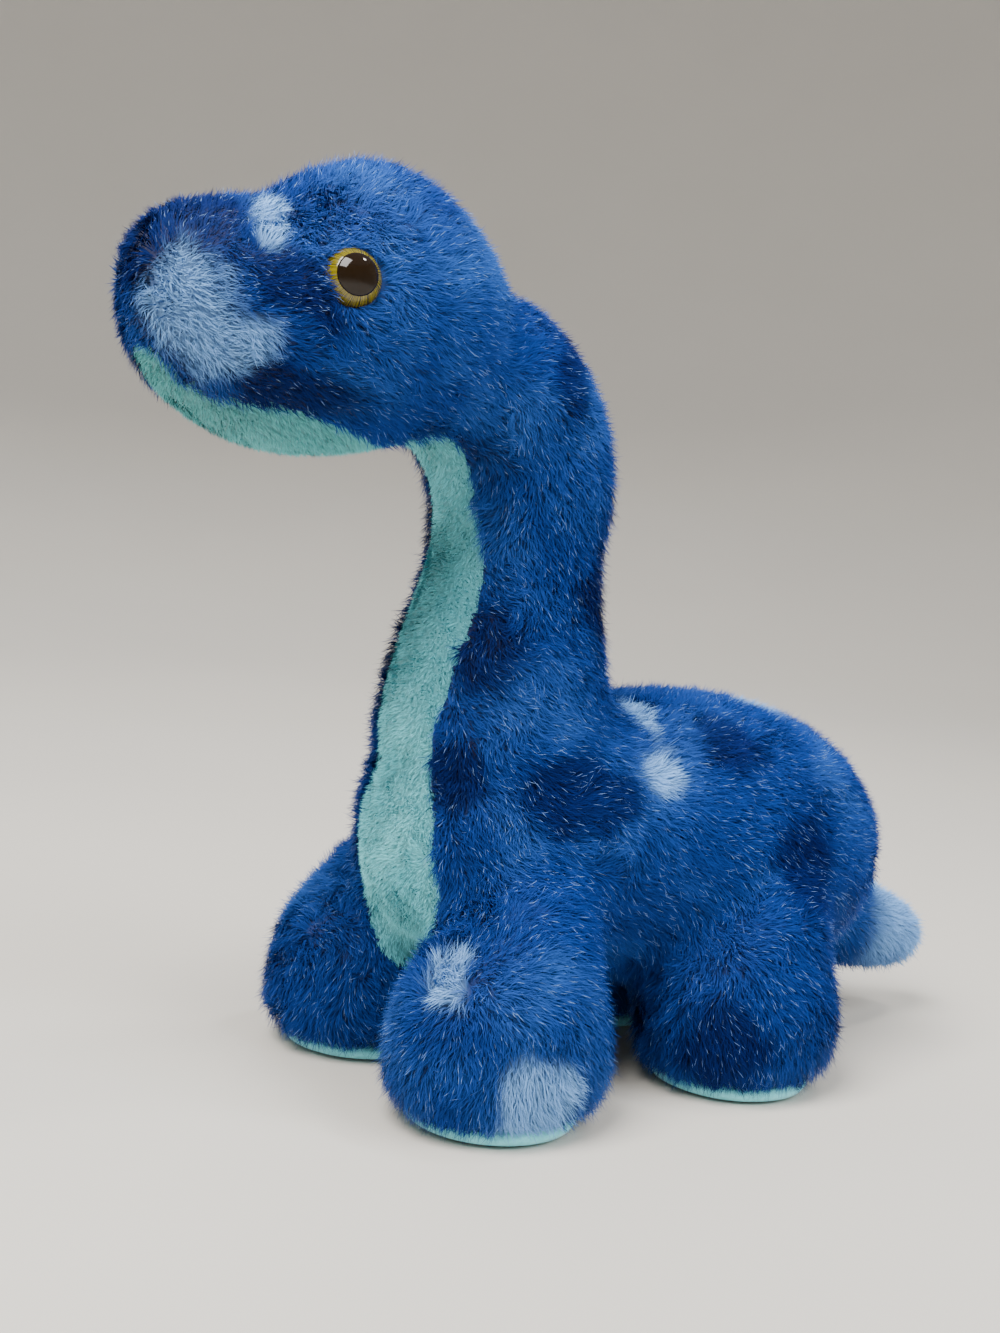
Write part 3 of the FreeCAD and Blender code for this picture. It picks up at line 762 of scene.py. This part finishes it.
def pile_material(name, dye):
    """Strands: painted shade at the root and painted light at the tip, each of its own random tone that
    also stands in for painted sheen, a few with painted glints at their tips.
    """
    material, shader, tree = node_material(name, 0.6, Specular_IOR_Level=0.2, Specular_Tint=SILKY)
    colour = dye(tree, attribute_node(tree, "root", "Vector"))
    tone = attribute_node(tree, "tone", "Fac")
    along = attribute_node(tree, "along", "Fac")
    # The colour runs from 0.60 of the dye at the root, as painted shade, to 1.15 at the tip, as painted
    # light.
    light = math_node(tree, "MULTIPLY_ADD", along, 0.55, 0.60)
    # Each strand's random tone scales it by 0.76 to 1.26, partly its own tone and partly painted sheen.
    light = math_node(tree, "MULTIPLY", light, math_node(tree, "MULTIPLY_ADD", tone, 0.5, 0.76))
    scaled = tree.nodes.new("ShaderNodeVectorMath")
    scaled.operation = "SCALE"
    tree.links.new(colour, scaled.inputs[0])
    tree.links.new(light, scaled.inputs["Scale"])
    # Painted glints: the tips of the few strands with the highest tone turn pale blue.
    glint_strands = stretch(tree, tone, 40.0, -37.2)
    painted_glint = math_node(tree, "MULTIPLY", glint_strands, stretch(tree, along, 4.0, -2.6))
    tree.links.new(mix_colour(tree, painted_glint, scaled.outputs[0], GLINT), shader.inputs["Base Color"])
    return material


def backing_material(name, dye):
    """The cloth under the pile, in its colour darkened as painted shade under the pile."""
    material, shader, tree = node_material(name, 0.85, Sheen_Weight=0.2)
    colour = dye(tree, attribute_node(tree, "root", "Vector"))
    # Painted shade under the pile: the dye is darkened 45 percent towards near black.
    tree.links.new(mix_colour(tree, 0.45, colour, BACKING_PAINTED_SHADE), shader.inputs["Base Color"])
    return material


def object_place(tree):
    """The place of a point in its object's own space."""
    return tree.nodes.new("ShaderNodeTexCoord").outputs["Object"]


def speckled_material(name, tones, roughness, scale, **values):
    """A material of two close tones, mixed by fine noise."""
    material, shader, tree = node_material(name, roughness, **values)
    grain = stretch(tree, noise(tree, object_place(tree), scale, 4.0), 2.0, -0.5)
    tree.links.new(mix_colour(tree, grain, *tones), shader.inputs["Base Color"])
    return material


def iris_material():
    """Amber plastic with fine rays running in towards the pupil, and a darker rim."""
    material, shader, tree = node_material("iris amber", 0.15, Coat_Weight=0.4, Coat_Roughness=0.02)
    parts = tree.nodes.new("ShaderNodeSeparateXYZ")
    tree.links.new(attribute_node(tree, "root", "Vector"), parts.inputs[0])
    rays = tree.nodes.new("ShaderNodeTexNoise")
    rays.noise_dimensions = "1D"
    rays.inputs["Scale"].default_value = 9.0
    rays.inputs["Detail"].default_value = 3.0
    tree.links.new(parts.outputs["X"], rays.inputs["W"])
    gold = mix_colour(tree, stretch(tree, rays.outputs["Fac"], 2.6, -0.8), IRIS_DARK, IRIS_GOLD)
    rim = stretch(tree, parts.outputs["Y"], 8.0, -7.1)
    tree.links.new(mix_colour(tree, rim, gold, IRIS_EDGE), shader.inputs["Base Color"])
    return material


# ---------------------------------------------------------------- coat pieces

def bend(item, body):
    """Tie a torso piece to the torso's body; a piece of any other body only gets its transform baked into
    its mesh.
    """
    if body == "torso":
        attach(item, body)
    elif body == "neck":
        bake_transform(item)
    elif body == "head":
        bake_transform(item)
    elif body == "tail":
        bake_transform(item)
    else:
        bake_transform(item)


FEWEST_FACES = 8  # a smaller scrap of backing isn't a piece
FEWEST_STRANDS = 40  # nor is a smaller tuft of pile
COAT_NODES = {
    ("torso", False): ["torso_side_left", "torso_side_right"],
    ("torso", True): ["belly_panel"],
    ("neck", False): ["neck_side_left", "neck_side_right"],
    ("neck", True): ["throat_panel"],
    ("head", False): ["head_side_left", "head_side_right", "head_gusset"],
    ("head", True): ["chin_panel"],
    ("tail", False): ["tail_upper_panel", "tail_lower_panel"],
}


def backing_pieces(cloth, materials):
    """Cut the whole cloth into one backing piece per body and colour."""
    centre, normal = face_arrays(cloth.data)
    body = body_of_point(centre)
    mint = is_mint(centre, normal)
    for number, name in enumerate(BODIES):
        for pale in (False, True):
            keep = (body == number) & (mint == pale)
            if keep.sum() < FEWEST_FACES:
                continue
            piece = cut_out(cloth.data, keep, f"{'pale' if pale else 'blue'}_backing_{name}")
            piece.data.materials.append(materials["mint backing" if pale else "blue backing"])
            nodes = COAT_NODES.get((name, pale))
            if name.startswith("leg") and not pale:
                nodes = [name.replace("leg", "leg_cover", 1)]
            if nodes:
                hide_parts(*nodes)
            bend(piece, name)


def cut_out(data, keep, name):
    """A new object from the kept faces of a mesh."""
    mesh = bmesh.new()
    mesh.from_mesh(data)
    mesh.faces.ensure_lookup_table()
    bmesh.ops.delete(mesh, geom=[mesh.faces[index] for index in np.flatnonzero(~keep)], context="FACES")
    for face in mesh.faces:
        face.smooth = True
    made = bpy.data.meshes.new(name)
    mesh.to_mesh(made)
    mesh.free()
    place, _ = vertex_arrays(made)
    set_point_attribute(made, "root", "FLOAT_VECTOR", "vector", place * MM)
    return object_of(name, made)


def strand_density(place, normal):
    """Strands to the square millimetre at each place."""
    return np.where(is_mint(place, normal), MINT_STRANDS_PER_MM2, STRANDS_PER_MM2)


def clear_of_eyes(roots):
    """Which roots stand outside the two eyes."""
    clear = np.ones(len(roots), bool)
    for side in SIDES:
        seat, look = eye_frame(side)
        offset = roots - seat
        off_axis = offset - np.outer(offset @ look, look)
        clear &= (np.linalg.norm(off_axis, axis=1) > EYE_ROOM) | (offset @ look < EYE_ROOM_DEPTH)
    return clear


def under_foot(roots):
    """Which roots would stand under a sole pad."""
    hidden = np.zeros(len(roots), bool)
    for leg in LEGS:
        off = roots - HINGES[leg]
        near = np.hypot(off[:, 0], off[:, 1] + SOLE_FORWARD) < SOLE_ROOM
        hidden |= near & (roots[:, 2] < SOLE_ROOM_HEIGHT)
    return hidden


def grow_pile(cloth, materials):
    """Strands over the whole cloth, in pieces small enough to handle."""
    roots, normals = scatter(cloth.data, strand_density)
    keep = clear_of_eyes(roots) & ~under_foot(roots)
    roots, normals = roots[keep], normals[keep]
    body = body_of_point(roots)
    mint = is_mint(roots, normals)
    # The torso's pile is cut into quarters, and each other body's into a left and a right half.
    part = (roots[:, 0] < 0).astype(int) + 2 * (roots[:, 1] > HINGES["torso"][1]).astype(int)
    part[body != BODIES.index("torso")] %= 2
    for number, name in enumerate(BODIES):
        for quarter in range(4):
            for pale in (False, True):
                chosen = (body == number) & (mint == pale) & (part == quarter)
                if chosen.sum() < FEWEST_STRANDS:
                    continue
                label = f"{'pale' if pale else 'blue'}_pile_{name}_{quarter}"
                data = strand_mesh(label, roots[chosen], normals[chosen], mint[chosen])
                data.materials.append(materials["mint pile" if pale else "blue pile"])
                item = object_of(label, data)
                bend(item, name)


# ---------------------------------------------------------------- eyes and feet

def box_centre(node):
    """The middle of a node's box, in millimetres."""
    low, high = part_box(node)
    return (np.array(low) + np.array(high)) / 2 / MM


def eye_frame(side):
    """An eye's seat and the way it looks, from its pupil and its washer."""
    washer = box_centre(f"eye_washer_{side}")
    look = box_centre(f"pupil_{side}") - washer
    look /= np.linalg.norm(look)
    return washer + look * EYE_AHEAD, look


def turned_piece(name, profile, seat, look, segments=96):
    """A solid of revolution about an axis through its seat. Its root attribute holds a value that
    varies round the axis, and the share of the widest radius.
    """
    axis = Vector(look).to_track_quat("Z", "Y").to_matrix()
    mesh = bmesh.new()
    layer = mesh.verts.layers.float_vector.new("root")
    widest = max(radius for radius, _ in profile)
    rings = []
    for radius, height in profile:
        ring = []
        for index in range(segments if radius > 0 else 1):
            angle = 2 * math.pi * index / segments
            point = axis @ Vector((radius * math.cos(angle), radius * math.sin(angle), height))
            vert = mesh.verts.new(metres(np.array(seat) + np.array(point)))
            vert[layer] = (abs(math.sin(angle / 2)) * 6 + math.cos(angle * 2), radius / widest, 0.0)
            ring.append(vert)
        rings.append(ring)
    for low, high in zip(rings, rings[1:]):
        for index in range(segments):
            after = (index + 1) % segments
            corners = [low[index % len(low)], low[after % len(low)],
                       high[after % len(high)], high[index % len(high)]]
            unique = list(dict.fromkeys(corners))
            if len(unique) > 2:
                mesh.faces.new(unique)
    bmesh.ops.recalc_face_normals(mesh, faces=mesh.faces)
    for face in mesh.faces:
        face.smooth = True
    data = bpy.data.meshes.new(name)
    mesh.to_mesh(data)
    mesh.free()
    return object_of(name, data)


def dome_profile(steps):
    """The profile of an eye's dome, from its rim to its top."""
    ball = (EYE_WIDTH**2 / 4 + DOME_HEIGHT**2) / (2 * DOME_HEIGHT)
    widest = math.asin(min(1.0, EYE_WIDTH / 2 / ball))
    return [(ball * math.sin(angle), DOME_HEIGHT - ball + ball * math.cos(angle))
            for angle in np.linspace(widest, 0.0, steps)]


def build_eyes(materials):
    """Two glossy safety eyes: an amber dome on its shank and a black pupil set on top."""
    for side in SIDES:
        seat, look = eye_frame(side)
        seat = seat - look * DOME_SINK
        dome = turned_piece(f"iris_{side}", SHANK_PROFILE + dome_profile(DOME_STEPS), seat, look)
        dome.data.materials.append(materials["iris"])
        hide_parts(f"eye_{side}")
        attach(dome, "head")
        lens = [point for point in dome_profile(PUPIL_STEPS) if point[0] < PUPIL_RADIUS]
        edge = [(radius, height + PUPIL_RISE) for radius, height in lens[1:]]
        under = [(radius, height - PUPIL_DEPTH) for radius, height in reversed(lens)]
        pupil = turned_piece(f"pupil_cap_{side}", under + [lens[0]] + edge, seat, look)
        pupil.data.materials.append(materials["pupil"])
        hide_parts(f"pupil_{side}")
        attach(pupil, "head")


def build_soles(materials):
    """The four pale sole pads, flat below and rounded at their rims."""
    for leg in LEGS:
        centre = HINGES[leg] * (1, 1, 0) + (0, -SOLE_FORWARD, 0)
        pad = turned_piece(leg.replace("leg", "sole", 1), SOLE_PROFILE, centre, (0, 0, 1))
        pad.data.materials.append(materials["mint pad"])
        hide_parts(leg.replace("leg", "foot_pad", 1))
        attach(pad, leg)


def build_stuffing(cloth, materials):
    """The fill of each body: lumpy fibre just under the backing, closed where bodies part."""
    centre, _ = face_arrays(cloth.data)
    body = body_of_point(centre)
    for number, name in enumerate(BODIES):
        piece = cut_out(cloth.data, body == number, f"stuffing_{name}")
        place, normal = vertex_arrays(piece.data)
        lumps = LUMP_HEIGHT * wave_noise(place, LUMP_SPACING, LUMP_SEED)[:, :1]
        set_places(piece.data, place - normal * (STUFFING_DEPTH + lumps))
        mesh = bmesh.new()
        mesh.from_mesh(piece.data)
        bmesh.ops.holes_fill(mesh, edges=mesh.edges, sides=0)
        mesh.to_mesh(piece.data)
        mesh.free()
        piece.data.materials.append(materials["stuffing"])
        node = name.replace("leg", "leg_fill", 1) if name.startswith("leg") else f"{name}_fill"
        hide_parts(node)
        bend(piece, name)


def dress_cad_nodes(materials):
    """A material for every CAD node that is still shown."""
    for item in frame["nodes"].values():
        if not item.hide_render:
            item.data.materials.clear()
            item.data.materials.append(materials["washer"])


# ---------------------------------------------------------------- stage

def build_stage():
    """A pale round floor that curves up into a backdrop on every side."""
    rows = [(FLOOR_FLAT * FLOOR_INNER, 0.0)]
    for angle in np.linspace(0, np.pi / 2, FLOOR_STEPS):
        rows.append((FLOOR_FLAT + FLOOR_CURVE * math.sin(angle), FLOOR_CURVE * (1 - math.cos(angle))))
    rows.append((FLOOR_FLAT + FLOOR_CURVE, BACKDROP_TOP))
    turns = np.linspace(0, 2 * np.pi, FLOOR_SEGMENTS, endpoint=False)
    mesh = bmesh.new()
    rings = []
    for radius, height in rows:
        rings.append([mesh.verts.new((radius * math.cos(a), radius * math.sin(a), height)) for a in turns])
    mesh.faces.new(rings[0])
    for low, high in zip(rings, rings[1:]):
        for index in range(FLOOR_SEGMENTS):
            after = (index + 1) % FLOOR_SEGMENTS
            mesh.faces.new((low[index], low[after], high[after], high[index])).smooth = True
    data = bpy.data.meshes.new("floor")
    mesh.to_mesh(data)
    mesh.free()
    floor = object_of("floor", data)
    material, shader, tree = node_material("pale floor", 0.9)
    grain = noise(tree, object_place(tree), 6.0, 3.0)
    tree.links.new(mix_colour(tree, grain, *FLOOR_PALE), shader.inputs["Base Color"])
    data.materials.append(material)


def way_back(azimuth, elevation):
    """The way from the toy to something at an azimuth and an elevation, in radians."""
    return Vector((math.sin(azimuth) * math.cos(elevation), -math.cos(azimuth) * math.cos(elevation),
                   math.sin(elevation)))


def add_light(name, azimuth, elevation, distance, size, power, colour, mirrored):
    """A square area light that faces the middle of the toy. Glossy surfaces mirror only some."""
    light = bpy.data.lights.new(name, "AREA")
    light.size = size
    light.energy = power
    light.color = colour
    item = object_of(name, light)
    back = way_back(math.radians(azimuth), math.radians(elevation))
    item.location = Vector((0, 0, LIGHT_AIM_HEIGHT)) + back * distance
    item.rotation_mode = "QUATERNION"
    item.rotation_quaternion = back.to_track_quat("Z", "Y")
    item.visible_glossy = mirrored


def build_camera():
    """The camera: close, from the front left, a little above the middle and slightly rolled."""
    azimuth, elevation, roll = (math.radians(angle) for angle in CAMERA_ANGLES)
    back = way_back(azimuth, elevation)
    level = Vector((math.cos(azimuth), math.sin(azimuth), 0))
    upright = back.cross(level)
    right = level * math.cos(roll) + upright * math.sin(roll)
    camera = bpy.data.cameras.new("camera")
    camera.lens = CAMERA_LENS
    camera.sensor_width = CAMERA_SENSOR
    item = object_of("camera", camera)
    turn = Matrix((right, back.cross(right), back)).transposed()
    item.matrix_world = Matrix.Translation(metres(CAMERA_AIM) + back * CAMERA_DISTANCE) @ turn.to_4x4()
    camera.clip_start = CAMERA_NEAR
    bpy.context.scene.camera = item


def build_world():
    """A dim, even surround."""
    world = bpy.data.worlds.new("surround")
    world.use_nodes = True
    background = world.node_tree.nodes["Background"]
    background.inputs["Color"].default_value = SURROUND
    background.inputs["Strength"].default_value = SURROUND_STRENGTH
    bpy.context.scene.world = world


materials = {
    "blue pile": pile_material("blue pile", dyed_blue),
    "mint pile": pile_material("mint pile", plain_mint),
    "blue backing": backing_material("blue backing", dyed_blue),
    "mint backing": backing_material("mint backing", plain_mint),
    "mint pad": speckled_material("mint pad", (MINT, MINT_SHADE), 0.9, 900.0, Sheen_Weight=0.4),
    "stuffing": speckled_material("white fibre", WHITE_FIBRE, 0.95, 700.0),
    "washer": speckled_material("washer plastic", WASHER_WHITE, 0.5, 300.0),
    "iris": iris_material(),
    "pupil": speckled_material("pupil black", PUPIL_BLACK, 0.06, 40.0, Specular_IOR_Level=0.3),
}

cloth = stuff_cloth(whole_skin())
backing_pieces(cloth, materials)
build_stuffing(cloth, materials)
grow_pile(cloth, materials)
bpy.data.objects.remove(cloth)
build_eyes(materials)
build_soles(materials)
dress_cad_nodes(materials)
build_stage()
for light in LIGHTS:
    add_light(*light)
build_camera()
build_world()
